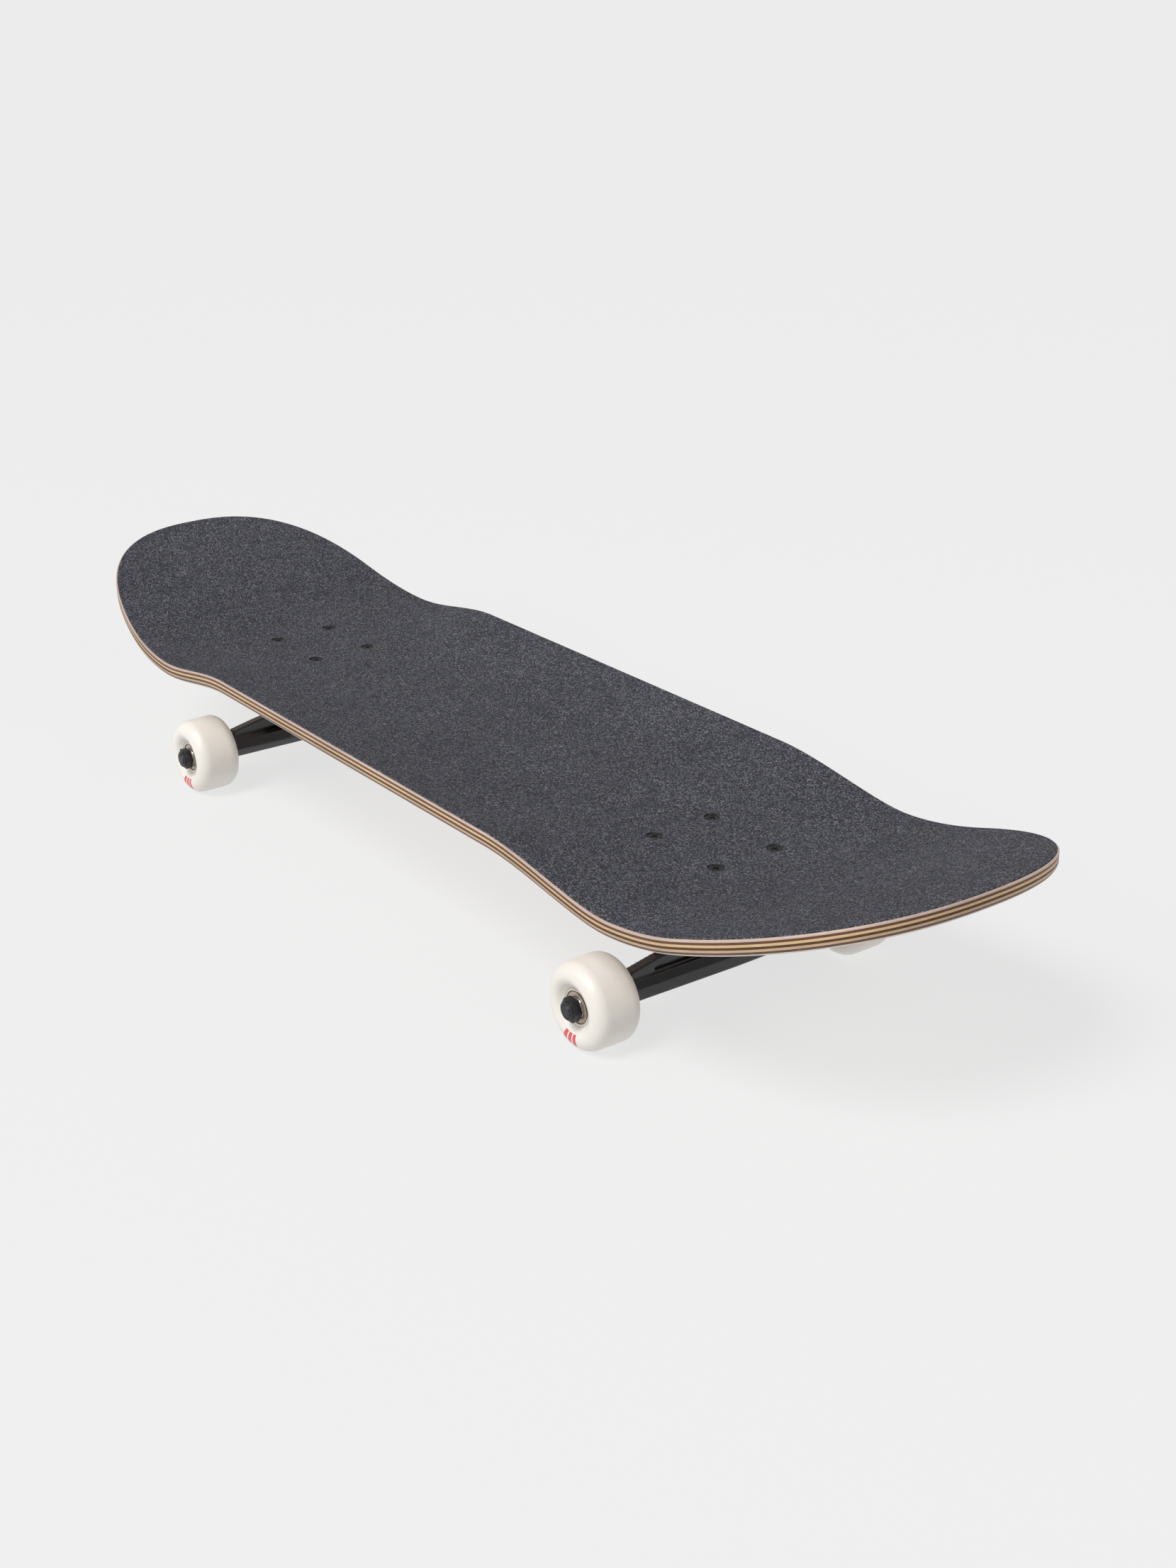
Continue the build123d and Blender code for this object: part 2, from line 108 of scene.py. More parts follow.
AXLE_Z = WHEEL_RADIUS
SIDES = {"left": 1, "right": -1}


def kick_rise(run, start, radius, angle):
    run = max(run - start, 0.0)
    slope = math.radians(angle)
    bend = radius * math.sin(slope)
    if run < bend:
        return radius - math.sqrt(radius * radius - run * run)
    return radius * (1 - math.cos(slope)) + (run - bend) * math.tan(slope)


def board_rise(x, y):
    run = x - BOARD_SHIFT
    end = NOSE_END if run > 0 else TAIL_END
    past = abs(run) - HALF_BOLTS
    centre, width, tip = end["fade"]
    t = min(max((past - centre) / width + 0.5, 0.0), 1.0)
    share = 1 - (1 - tip) * t * t * (3 - 2 * t)
    return kick_rise(past, *end["kick"]) + CONCAVE_DEPTH * share * abs(2 * y / BOARD_WIDTH) ** CONCAVE_POWER


def end_angle(end, past):
    start, along_power = end["curve"][:2]
    share = min(max((past - start) / (end["reach"] - start), 0.0), 1.0)
    return math.asin(share ** (along_power / 2))


def end_reach(end, angle, inset):
    start, along_power = end["curve"][:2]
    return HALF_BOLTS + start + (end["reach"] - start - inset) * math.sin(angle) ** (2 / along_power)


def end_half_width(end, angle, inset):
    return (BOARD_WIDTH / 2 - inset) * max(math.cos(angle), 0.0) ** (2 / end["curve"][2])


# stations along the board: close together round the two tips, about 6 mm apart between them
TIP_STEPS = 22
TIP_RUN = 60.0
FLAT_STEP = 6.0
ROWS_ACROSS = 26


def board_stations():
    stations = []
    for end, sign in ((TAIL_END, -1), (NOSE_END, 1)):
        first = end_angle(end, end["reach"] - TIP_RUN)
        tips = [(end, sign, first + (math.pi / 2 - first) * k / TIP_STEPS) for k in range(TIP_STEPS + 1)]
        inner = end["curve"][0]
        count = int((HALF_BOLTS + end["reach"] - TIP_RUN) / FLAT_STEP)
        plain = []
        for k in range(1 if sign > 0 else 0, count):
            past = (HALF_BOLTS + end["reach"] - TIP_RUN) * k / count - HALF_BOLTS
            plain.append((end, sign, end_angle(end, past), past) if past > inner else (end, sign, 0.0, past))
        ordered = plain + tips
        stations += ordered[::-1] if sign < 0 else ordered
    return stations


STATIONS = board_stations()


def edge_inset(depth):
    top_gap = max(TOP_ROUND - depth, 0.0)
    low_gap = max(BOTTOM_ROUND - (BOARD_THICKNESS - depth), 0.0)
    top = TOP_ROUND - math.sqrt(max(TOP_ROUND**2 - top_gap**2, 0.0))
    return EDGE_TRIM + top + BOTTOM_ROUND - math.sqrt(max(BOTTOM_ROUND**2 - low_gap**2, 0.0))


def board_point(station, across, depth, inset):
    entry = STATIONS[station]
    end, sign, angle = entry[:3]
    half = end_half_width(end, angle, inset)
    if len(entry) == 4 and entry[3] <= end["curve"][0]:
        run = HALF_BOLTS + entry[3]
    else:
        run = end_reach(end, angle, inset)
    x = BOARD_SHIFT + sign * run
    y = across * half
    return Vector((x, y, BOARD_TOP + board_rise(x, y) - depth)) * MM


# ---------------------------------------------------------------- making and finishing pieces
def settle(bm, name, body, material, nodes=(), smooth=35.0):
    """Turns a bmesh into a piece of the object, riding on its body and standing for its CAD nodes."""
    mesh = bpy.data.meshes.new(name)
    bmesh.ops.recalc_face_normals(bm, faces=bm.faces)
    bm.to_mesh(mesh)
    bm.free()
    return settle_mesh(mesh, name, body, material, nodes, smooth)


def settle_mesh(mesh, name, body, material, nodes=(), smooth=35.0):
    mesh.polygons.foreach_set("use_smooth", [True] * len(mesh.polygons))
    mesh.set_sharp_from_angle(angle=math.radians(smooth))
    mesh.materials.clear()
    mesh.materials.append(material)
    piece = bpy.data.objects.new(name, mesh)
    bpy.context.scene.collection.objects.link(piece)
    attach(piece, body)
    if nodes:
        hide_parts(*nodes)
    return piece


def applied(mesh, modifiers):
    """The mesh with these (type, settings) modifiers worked in."""
    holder = bpy.data.objects.new("holder", mesh)
    bpy.context.scene.collection.objects.link(holder)
    for kind, settings in modifiers:
        modifier = holder.modifiers.new(kind.lower(), kind)
        for key, value in settings.items():
            setattr(modifier, key, value)
    graph = bpy.context.evaluated_depsgraph_get()
    done = bpy.data.meshes.new_from_object(holder.evaluated_get(graph))
    bpy.data.objects.remove(holder)
    return done


def spin_profile(bm, profile, steps, closed):
    """Spins a (radius, height) line about Z."""
    points = [bm.verts.new((r * MM, 0, z * MM)) for r, z in profile]
    pairs = list(zip(points, points[1:])) + ([(points[-1], points[0])] if closed else [])
    edges = [bm.edges.new(pair) for pair in pairs]
    bmesh.ops.spin(bm, geom=points + edges, cent=(0, 0, 0), axis=(0, 0, 1), angle=2 * math.pi, steps=steps,
                   use_merge=True)
    bmesh.ops.remove_doubles(bm, verts=bm.verts, dist=1e-6)
    return bm


def bend(centre, radius, start, stop, count):
    """Points of an arc in the (radius, height) plane, angles in degrees."""
    angles = [math.radians(start + (stop - start) * k / count) for k in range(count + 1)]
    return [(centre[0] + radius * math.cos(a), centre[1] + radius * math.sin(a)) for a in angles]


def soft_ring(inner, outer, low, high, edge, count=3):
    """A closed ring section whose four corners are rounded."""
    return (
        bend((outer - edge, low + edge), edge, -90, 0, count)
        + bend((outer - edge, high - edge), edge, 0, 90, count)
        + bend((inner + edge, high - edge), edge, 90, 180, count)
        + bend((inner + edge, low + edge), edge, 180, 270, count)
    )


# ---------------------------------------------------------------- shader groups
def new_group(name, inputs, outputs):
    tree = bpy.data.node_groups.new(name, "ShaderNodeTree")
    for label, kind, value in inputs:
        socket = tree.interface.new_socket(label, in_out="INPUT", socket_type=kind)
        socket.default_value = value
    for label, kind in outputs:
        tree.interface.new_socket(label, in_out="OUTPUT", socket_type=kind)
    return tree, tree.nodes.new("NodeGroupInput"), tree.nodes.new("NodeGroupOutput")


def node(tree, kind, **settings):
    made = tree.nodes.new(kind)
    for key, value in settings.items():
        if key.startswith("in_"):
            made.inputs[key[3:].replace("_", " ")].default_value = value
        else:
            setattr(made, key, value)
    return made


def math_node(tree, operation, first, second=None, clamp=False):
    made = tree.nodes.new("ShaderNodeMath")
    made.operation = operation
    made.use_clamp = clamp
    for index, source in enumerate((first, second)):
        if source is None:
            continue
        if isinstance(source, (int, float)):
            made.inputs[index].default_value = source
        else:
            tree.links.new(source, made.inputs[index])
    return made.outputs[0]


def span(tree, source, low, high, out_low=0.0, out_high=1.0):
    made = tree.nodes.new("ShaderNodeMapRange")
    made.inputs["From Min"].default_value = low
    made.inputs["From Max"].default_value = high
    made.inputs["To Min"].default_value = out_low
    made.inputs["To Max"].default_value = out_high
    tree.links.new(source, made.inputs["Value"])
    return made.outputs["Result"]


def blend_colour(tree, factor, first, second, how="MIX"):
    made = tree.nodes.new("ShaderNodeMix")
    made.data_type = "RGBA"
    made.blend_type = how
    for source, label in ((factor, "Factor"), (first, "A"), (second, "B")):
        socket = [s for s in made.inputs if s.name == label and s.enabled][0]
        if isinstance(source, (int, float)):
            socket.default_value = source
        elif isinstance(source, tuple):
            socket.default_value = source
        else:
            tree.links.new(source, socket)
    return [s for s in made.outputs if s.enabled][0]


def object_place(tree, stretch=(1.0, 1.0, 1.0)):
    place = tree.nodes.new("ShaderNodeTexCoord")
    mapping = tree.nodes.new("ShaderNodeMapping")
    mapping.inputs["Scale"].default_value = stretch
    tree.links.new(place.outputs["Object"], mapping.inputs["Vector"])
    return mapping.outputs["Vector"]


def make_mottle_group():
    """Slow drifts and fine specks between two colours, and a roughness that follows them."""
    tree, inlet, outlet = new_group(
        "surface_mottle",
        [
            ("Low Colour", "NodeSocketColor", (0.1, 0.1, 0.1, 1)),
            ("High Colour", "NodeSocketColor", (0.2, 0.2, 0.2, 1)),
            ("Drift Scale", "NodeSocketFloat", 20.0),
            ("Speck Scale", "NodeSocketFloat", 900.0),
            ("Speck Share", "NodeSocketFloat", 0.3),
            ("Roughness", "NodeSocketFloat", 0.4),
            ("Roughness Spread", "NodeSocketFloat", 0.1),
        ],
        [("Colour", "NodeSocketColor"), ("Roughness", "NodeSocketFloat"), ("Height", "NodeSocketFloat")],
    )
    place = object_place(tree)
    drift = node(tree, "ShaderNodeTexNoise", in_Detail=3.0)
    speck = node(tree, "ShaderNodeTexNoise", in_Detail=2.0)
    for made, label in ((drift, "Drift Scale"), (speck, "Speck Scale")):
        tree.links.new(place, made.inputs["Vector"])
        tree.links.new(inlet.outputs[label], made.inputs["Scale"])
    slow = span(tree, drift.outputs["Fac"], 0.3, 0.7)
    fast = span(tree, speck.outputs["Fac"], 0.3, 0.7)
    gap = math_node(tree, "SUBTRACT", fast, slow)
    weighted = math_node(tree, "MULTIPLY", gap, inlet.outputs["Speck Share"])
    share = math_node(tree, "ADD", slow, weighted, clamp=True)
    colour = blend_colour(tree, share, inlet.outputs["Low Colour"], inlet.outputs["High Colour"])
    centred = math_node(tree, "SUBTRACT", share, 0.5)
    offset = math_node(tree, "MULTIPLY", centred, inlet.outputs["Roughness Spread"])
    rough = math_node(tree, "ADD", inlet.outputs["Roughness"], offset, clamp=True)
    tree.links.new(colour, outlet.inputs["Colour"])
    tree.links.new(rough, outlet.inputs["Roughness"])
    tree.links.new(fast, outlet.inputs["Height"])
    return tree


def make_scratch_group():
    """Sparse fine scratches: 1 on a scratch, 0 elsewhere."""
    tree, inlet, outlet = new_group(
        "fine_scratches",
        [
            ("Scale", "NodeSocketFloat", 60.0),
            ("Width", "NodeSocketFloat", 0.02),
            ("Cover", "NodeSocketFloat", 0.5),
        ],
        [("Mask", "NodeSocketFloat")],
    )
    total = None
    for stretch in ((1.0, 6.0, 3.0), (5.0, 1.0, 4.0)):
        place = object_place(tree, stretch)
        lines = node(tree, "ShaderNodeTexVoronoi", feature="DISTANCE_TO_EDGE")
        gate = node(tree, "ShaderNodeTexNoise", in_Detail=1.0, in_Scale=35.0)
        tree.links.new(place, lines.inputs["Vector"])
        tree.links.new(inlet.outputs["Scale"], lines.inputs["Scale"])
        tree.links.new(place, gate.inputs["Vector"])
        near = math_node(tree, "LESS_THAN", lines.outputs["Distance"], inlet.outputs["Width"])
        open_gate = math_node(tree, "GREATER_THAN", gate.outputs["Fac"], inlet.outputs["Cover"])
        part = math_node(tree, "MULTIPLY", near, open_gate)
        total = part if total is None else math_node(tree, "MAXIMUM", total, part)
    tree.links.new(total, outlet.inputs["Mask"])
    return tree


def make_grit_group():
    """Abrasive grains on tape: each grain has its own brightness and height."""
    tree, inlet, outlet = new_group(
        "abrasive_grit",
        [
            ("Dark Grain", "NodeSocketColor", (0.009, 0.009, 0.012, 1)),
            ("Pale Grain", "NodeSocketColor", (0.235, 0.238, 0.275, 1)),
            ("Cool Tint", "NodeSocketColor", (0.028, 0.030, 0.05, 1)),
            ("Grain Scale", "NodeSocketFloat", 1500.0),
            ("Clump Scale", "NodeSocketFloat", 950.0),
        ],
        [("Colour", "NodeSocketColor"), ("Height", "NodeSocketFloat"), ("Roughness", "NodeSocketFloat")],
    )
    place = object_place(tree)
    grains = node(tree, "ShaderNodeTexVoronoi", feature="F1")
    clumps = node(tree, "ShaderNodeTexNoise", in_Detail=4.0, in_Roughness=0.75)
    tints = node(tree, "ShaderNodeTexNoise", in_Scale=95.0, in_Detail=2.0)
    patches = node(tree, "ShaderNodeTexNoise", in_Scale=14.0, in_Detail=2.0)
    for made in (grains, clumps, tints, patches):
        tree.links.new(place, made.inputs["Vector"])
    tree.links.new(inlet.outputs["Grain Scale"], grains.inputs["Scale"])
    tree.links.new(inlet.outputs["Clump Scale"], clumps.inputs["Scale"])
    split = node(tree, "ShaderNodeSeparateColor")
    tree.links.new(grains.outputs["Color"], split.inputs["Color"])
    sparkle = math_node(tree, "POWER", split.outputs["Red"], 3.2)
    clump = span(tree, clumps.outputs["Fac"], 0.32, 0.70)
    glint = math_node(tree, "ADD", math_node(tree, "MULTIPLY", sparkle, 0.85), 0.07)
    bright = math_node(tree, "MULTIPLY", glint, math_node(tree, "ADD", clump, 0.35))
    paleness = math_node(tree, "MINIMUM", bright, 1.0)
    grey = blend_colour(tree, paleness, inlet.outputs["Dark Grain"], inlet.outputs["Pale Grain"])
    tint_share = math_node(tree, "MULTIPLY", span(tree, tints.outputs["Fac"], 0.45, 0.75), 0.35)
    tinted = blend_colour(tree, tint_share, grey, inlet.outputs["Cool Tint"])
    patch = span(tree, patches.outputs["Fac"], 0.3, 0.7, 0.93, 1.07)
    shaded = node(tree, "ShaderNodeHueSaturation")
    tree.links.new(tinted, shaded.inputs["Color"])
    tree.links.new(patch, shaded.inputs["Value"])
    clump_height = math_node(tree, "MULTIPLY", clump, 0.6)
    grain_height = math_node(tree, "MULTIPLY", split.outputs["Green"], 0.5)
    height = math_node(tree, "ADD", clump_height, grain_height)
    tree.links.new(shaded.outputs["Color"], outlet.inputs["Colour"])
    tree.links.new(height, outlet.inputs["Height"])
    tree.links.new(span(tree, sparkle, 0.0, 1.0, 0.95, 0.6), outlet.inputs["Roughness"])
    return tree


def make_veneer_group():
    """Maple veneer: long fibres along the board, small pores and slow colour drift."""
    tree, inlet, outlet = new_group(
        "veneer_fibre",
        [
            ("Wood", "NodeSocketColor", (0.6, 0.4, 0.25, 1)),
            ("Fibre", "NodeSocketColor", (0.3, 0.18, 0.1, 1)),
            ("Fibre Share", "NodeSocketFloat", 0.5),
            ("Roughness", "NodeSocketFloat", 0.45),
        ],
        [("Colour", "NodeSocketColor"), ("Roughness", "NodeSocketFloat"), ("Height", "NodeSocketFloat")],
    )
    fibres = node(tree, "ShaderNodeTexNoise", in_Scale=1.0, in_Detail=4.0, in_Roughness=0.65)
    tree.links.new(object_place(tree, (45.0, 420.0, 1500.0)), fibres.inputs["Vector"])
    pores = node(tree, "ShaderNodeTexNoise", in_Scale=1.0, in_Detail=2.0)
    tree.links.new(object_place(tree, (260.0, 700.0, 2600.0)), pores.inputs["Vector"])
    drift = node(tree, "ShaderNodeTexNoise", in_Scale=12.0, in_Detail=2.0)
    tree.links.new(object_place(tree), drift.inputs["Vector"])
    fibre = span(tree, fibres.outputs["Fac"], 0.35, 0.68)
    pore = span(tree, pores.outputs["Fac"], 0.56, 0.72)
    fibre_part = math_node(tree, "MULTIPLY", fibre, 0.7)
    pore_part = math_node(tree, "MULTIPLY", pore, 0.5)
    mark = math_node(tree, "ADD", fibre_part, pore_part, clamp=True)
    share = math_node(tree, "MULTIPLY", mark, inlet.outputs["Fibre Share"])
    colour = blend_colour(tree, share, inlet.outputs["Wood"], inlet.outputs["Fibre"])
    shaded = node(tree, "ShaderNodeHueSaturation")
    tree.links.new(colour, shaded.inputs["Color"])
    tree.links.new(span(tree, drift.outputs["Fac"], 0.3, 0.7, 0.86, 1.12), shaded.inputs["Value"])
    tree.links.new(shaded.outputs["Color"], outlet.inputs["Colour"])
    rough = math_node(tree, "ADD", inlet.outputs["Roughness"], math_node(tree, "MULTIPLY", mark, 0.15))
    tree.links.new(rough, outlet.inputs["Roughness"])
    tree.links.new(mark, outlet.inputs["Height"])
    return tree


# the wheel's printed bars, in turns of the wheel
BAR_PITCH = 0.034
BAR_HALF = 0.0125
BAR_MIDDLE = 0.006
BAR_SLANT = 0.022


def make_stamp_group():
    """Three slanted bars on the wheel's face, from its UV map: U is the turn, V the way out."""
    tree, inlet, outlet = new_group(
        "wheel_stamp",
        [
            ("Centre", "NodeSocketFloat", 0.5),
            ("Near", "NodeSocketFloat", 0.60),
            ("Far", "NodeSocketFloat", 1.15),
        ],
        [("Mask", "NodeSocketFloat")],
    )
    uv = node(tree, "ShaderNodeUVMap", uv_map="turning")
    parts = node(tree, "ShaderNodeSeparateXYZ")
    tree.links.new(uv.outputs["UV"], parts.inputs["Vector"])
    around = math_node(tree, "SUBTRACT", parts.outputs["X"], inlet.outputs["Centre"])
    outward = parts.outputs["Y"]
    past_near = math_node(tree, "SUBTRACT", outward, inlet.outputs["Near"])
    slanted = math_node(tree, "ADD", around, math_node(tree, "MULTIPLY", past_near, BAR_SLANT))
    total = None
    for offset in (-BAR_PITCH, 0.0, BAR_PITCH):
        distance = math_node(tree, "ABSOLUTE", math_node(tree, "SUBTRACT", slanted, offset + BAR_MIDDLE))
        bar = math_node(tree, "LESS_THAN", distance, BAR_HALF)
        total = bar if total is None else math_node(tree, "MAXIMUM", total, bar)
    beyond = math_node(tree, "GREATER_THAN", outward, inlet.outputs["Near"])
    short_of = math_node(tree, "LESS_THAN", outward, inlet.outputs["Far"])
    inside = math_node(tree, "MULTIPLY", beyond, short_of)
    tree.links.new(math_node(tree, "MULTIPLY", total, inside), outlet.inputs["Mask"])
    return tree


MOTTLE = make_mottle_group()
SCRATCHES = make_scratch_group()
GRIT = make_grit_group()
VENEER = make_veneer_group()
STAMP = make_stamp_group()


def new_material(name):
    material = bpy.data.materials.new(name)
    material.use_nodes = True
    tree = material.node_tree
    shader = [n for n in tree.nodes if n.type == "BSDF_PRINCIPLED"][0]
    return material, tree, shader


def placed(tree, group, **values):
    made = tree.nodes.new("ShaderNodeGroup")
    made.node_tree = group
    for key, value in values.items():
        made.inputs[key.replace("_", " ")].default_value = value
    return made


def bump(tree, shader, height, strength, distance):
    made = tree.nodes.new("ShaderNodeBump")
    made.inputs["Strength"].default_value = strength
    made.inputs["Distance"].default_value = distance
    tree.links.new(height, made.inputs["Height"])
    tree.links.new(made.outputs["Normal"], shader.inputs["Normal"])


def coated(name, low, high, rough, spread, metallic=0.0, drift=25.0, speck=900.0, share=0.3, lift=0.00004,
           strength=0.25, scratch=None, worn=None, coat=0.0, specular=0.5):
    """Paint, plate, plastic or rubber: mottled colour and gloss, fine bump and, where given, scratches."""
    material, tree, shader = new_material(name)
    mottle = placed(tree, MOTTLE, Low_Colour=(*low, 1), High_Colour=(*high, 1), Drift_Scale=drift,
                    Speck_Scale=speck, Speck_Share=share, Roughness=rough, Roughness_Spread=spread)
    colour, roughness = mottle.outputs["Colour"], mottle.outputs["Roughness"]
    if scratch:
        marks = placed(tree, SCRATCHES, Scale=scratch[0], Width=scratch[1], Cover=scratch[2])
        wear = math_node(tree, "MULTIPLY", marks.outputs["Mask"], scratch[3])
        colour = blend_colour(tree, wear, colour, (*worn, 1))
        rougher = math_node(tree, "MULTIPLY", marks.outputs["Mask"], 0.12)
        roughness = math_node(tree, "ADD", roughness, rougher, clamp=True)
    tree.links.new(colour, shader.inputs["Base Color"])
    tree.links.new(roughness, shader.inputs["Roughness"])
    shader.inputs["Metallic"].default_value = metallic
    shader.inputs["Coat Weight"].default_value = coat
    shader.inputs["Coat Roughness"].default_value = 0.08
    shader.inputs["Specular IOR Level"].default_value = specular
    bump(tree, shader, mottle.outputs["Height"], strength, lift)
    return material


def veneer(name, wood, fibre, share, rough=0.42):
    material, tree, shader = new_material(name)
    grain = placed(tree, VENEER, Wood=(*wood, 1), Fibre=(*fibre, 1), Fibre_Share=share, Roughness=rough)
    tree.links.new(grain.outputs["Colour"], shader.inputs["Base Color"])
    tree.links.new(grain.outputs["Roughness"], shader.inputs["Roughness"])
    shader.inputs["Coat Weight"].default_value = 0.08
    shader.inputs["Coat Roughness"].default_value = 0.3
    shader.inputs["Specular IOR Level"].default_value = 0.2
    bump(tree, shader, grain.outputs["Height"], 0.3, 0.00008)
    return material


def grip_material():
    material, tree, shader = new_material("grip_tape_grit")
    grit = placed(tree, GRIT)
    tree.links.new(grit.outputs["Colour"], shader.inputs["Base Color"])
    tree.links.new(grit.outputs["Roughness"], shader.inputs["Roughness"])
    shader.inputs["Specular IOR Level"].default_value = 0.35
    bump(tree, shader, grit.outputs["Height"], 0.6, 0.0004)
    return material


def wheel_material():
    material, tree, shader = new_material("cream_urethane")
    mottle = placed(tree, MOTTLE, Low_Colour=(0.69, 0.655, 0.60, 1), High_Colour=(0.755, 0.73, 0.68, 1),
                    Drift_Scale=30.0, Speck_Scale=1500.0, Speck_Share=0.25, Roughness=0.36,
                    Roughness_Spread=0.10)
    stamp = placed(tree, STAMP, Centre=0.5, Near=0.66, Far=1.06)
    worn = math_node(tree, "MULTIPLY", stamp.outputs["Mask"], 0.94)
    printed = blend_colour(tree, worn, mottle.outputs["Colour"], (0.62, 0.035, 0.045, 1))
    tree.links.new(printed, shader.inputs["Base Color"])
    tree.links.new(mottle.outputs["Roughness"], shader.inputs["Roughness"])
    shader.inputs["Subsurface Weight"].default_value = 0.12
    shader.inputs["Subsurface Radius"].default_value = (0.004, 0.003, 0.002)
    shader.inputs["Subsurface Scale"].default_value = 1.0
    bump(tree, shader, mottle.outputs["Height"], 0.12, 0.00003)
    return material


PAINT = coated(
    "gloss_black_paint", (0.004, 0.004, 0.005), (0.008, 0.008, 0.010), 0.16, 0.06,
    drift=60.0, speck=700.0, share=0.4, lift=0.00008, strength=0.3, scratch=(45.0, 0.008, 0.62, 0.3),
    worn=(0.09, 0.09, 0.095), coat=0.5, specular=0.35,
)
BLACK_STEEL = coated(
    "black_oxide_steel", (0.016, 0.016, 0.018), (0.032, 0.032, 0.035), 0.34, 0.14,
    metallic=0.6, drift=90.0, speck=1800.0, share=0.5, scratch=(120.0, 0.01, 0.6, 0.5),
    worn=(0.16, 0.16, 0.17),
)
ZINC = coated(
    "zinc_plate", (0.50, 0.51, 0.53), (0.66, 0.66, 0.65), 0.30, 0.16,
    metallic=1.0, drift=120.0, speck=2200.0, share=0.5, scratch=(150.0, 0.012, 0.55, 0.5),
    worn=(0.42, 0.42, 0.43),
)
BEARING_STEEL = coated(
    "polished_bearing_steel", (0.56, 0.52, 0.46), (0.72, 0.69, 0.64), 0.18, 0.10,
    metallic=1.0, drift=200.0, speck=2600.0, share=0.4, strength=0.1,
)
SHIELD = coated(
    "warm_grey_shield", (0.36, 0.29, 0.23), (0.52, 0.44, 0.37), 0.38, 0.12,
    metallic=0.45, drift=220.0, speck=2400.0, share=0.5, strength=0.15,
)
SEAM = coated(
    "bronze_seam", (0.10, 0.065, 0.025), (0.20, 0.14, 0.06), 0.3, 0.1,
    metallic=0.8, drift=300.0, speck=3000.0,
)
BUSHING = coated(
    "black_bushing_urethane", (0.018, 0.018, 0.019), (0.03, 0.03, 0.032), 0.36, 0.12,
    drift=80.0, speck=1300.0, share=0.4,
)
NYLON = coated(
    "moulded_black_nylon", (0.02, 0.02, 0.021), (0.034, 0.034, 0.036), 0.5, 0.12,
    drift=80.0, speck=1600.0, share=0.5,
)
GRIP_TAPE = grip_material()
URETHANE = wheel_material()

# top veneer: its pale cream colour is partly the veneer's own tone and partly a painted highlight standing
# in for the lit rounded top edge
PALE_VENEER_WITH_PAINTED_HIGHLIGHT = veneer("cream_veneer_and_painted_highlight", (0.52, 0.40, 0.34), (0.34, 0.24, 0.19), 0.5)
MAUVE_BROWN = veneer("mauve_brown_veneer", (0.125, 0.058, 0.032), (0.065, 0.029, 0.015), 0.6)
HONEY = veneer("honey_maple_veneer", (0.60, 0.42, 0.24), (0.38, 0.24, 0.125), 0.5)
DARK_BROWN = veneer("dark_brown_veneer", (0.088, 0.042, 0.018), (0.045, 0.020, 0.009), 0.6)
PALE_TAN = veneer("pale_tan_veneer", (0.504, 0.363, 0.239), (0.32, 0.21, 0.125), 0.5)
GREY_MAUVE = veneer("grey_mauve_veneer", (0.125, 0.070, 0.048), (0.065, 0.036, 0.025), 0.6)
PALE_PINK = veneer("pale_pink_veneer", (0.69, 0.58, 0.52), (0.48, 0.36, 0.30), 0.45)
PLY_FINISH = [
    (PALE_VENEER_WITH_PAINTED_HIGHLIGHT, "ply_pink"),
    (MAUVE_BROWN, "ply_dark"),
    (HONEY, "ply_natural"),
    (DARK_BROWN, "ply_dark"),
    (PALE_TAN, "ply_natural"),
    (GREY_MAUVE, "ply_dark"),
    (PALE_PINK, "ply_pale"),
]


# ---------------------------------------------------------------- deck
def board_layer(top_depth, bottom_depth, inset_at, rings):
    """One sheet of the deck: a flat grid given thickness and rings of edges, then pressed to shape."""
    bm = bmesh.new()
    bmesh.ops.create_grid(bm, x_segments=len(STATIONS) - 1, y_segments=ROWS_ACROSS, size=1.0)
    copied = bmesh.ops.extrude_face_region(bm, geom=bm.faces[:])["geom"]
    lower = [part for part in copied if isinstance(part, bmesh.types.BMVert)]
    depth_run = bottom_depth - top_depth
    bmesh.ops.translate(bm, verts=lower, vec=(0, 0, -depth_run))
    for k in range(1, rings):
        everything = bm.verts[:] + bm.edges[:] + bm.faces[:]
        cut_height = -depth_run * k / rings
        bmesh.ops.bisect_plane(bm, geom=everything, plane_co=(0, 0, cut_height), plane_no=(0, 0, 1))
    last = len(STATIONS) - 1
    for vert in bm.verts:
        station = min(max(round((vert.co.x + 1) / 2 * last), 0), last)
        depth = top_depth - vert.co.z
        vert.co = board_point(station, vert.co.y, depth, inset_at(depth))
    bmesh.ops.remove_doubles(bm, verts=bm.verts, dist=2e-6)
    bmesh.ops.recalc_face_normals(bm, faces=bm.faces)
    return bm


def bolt_places():
    half_x, half_y = HOLE_LENGTH / 2, HOLE_WIDTH / 2
    for centre in (BOARD_SHIFT + HALF_BOLTS, BOARD_SHIFT - HALF_BOLTS):
        for sx in (-1, 1):
            for sy in (-1, 1):
                yield Vector((centre + sx * half_x, sy * half_y, 0)) * MM


PIN_LENGTH = 60.0


def drilled(bm, radius):
    """The layer with its eight bolt holes cut."""
    layer = bpy.data.meshes.new("layer")
    bm.to_mesh(layer)
    bm.free()
    pins = bmesh.new()
    for spot in bolt_places():
        place = Matrix.Translation(spot + Vector((0, 0, BOARD_TOP * MM)))
        bmesh.ops.create_cone(pins, cap_ends=True, segments=32, radius1=radius * MM, radius2=radius * MM,
                              depth=PIN_LENGTH * MM, matrix=place)
    cutter_mesh = bpy.data.meshes.new("pins")
    pins.to_mesh(cutter_mesh)
    pins.free()
    cutter = bpy.data.objects.new("pins", cutter_mesh)
    bpy.context.scene.collection.objects.link(cutter)
    done = applied(layer, [("BOOLEAN", {"operation": "DIFFERENCE", "object": cutter, "solver": "EXACT"})])
    bpy.data.objects.remove(cutter)
    return done


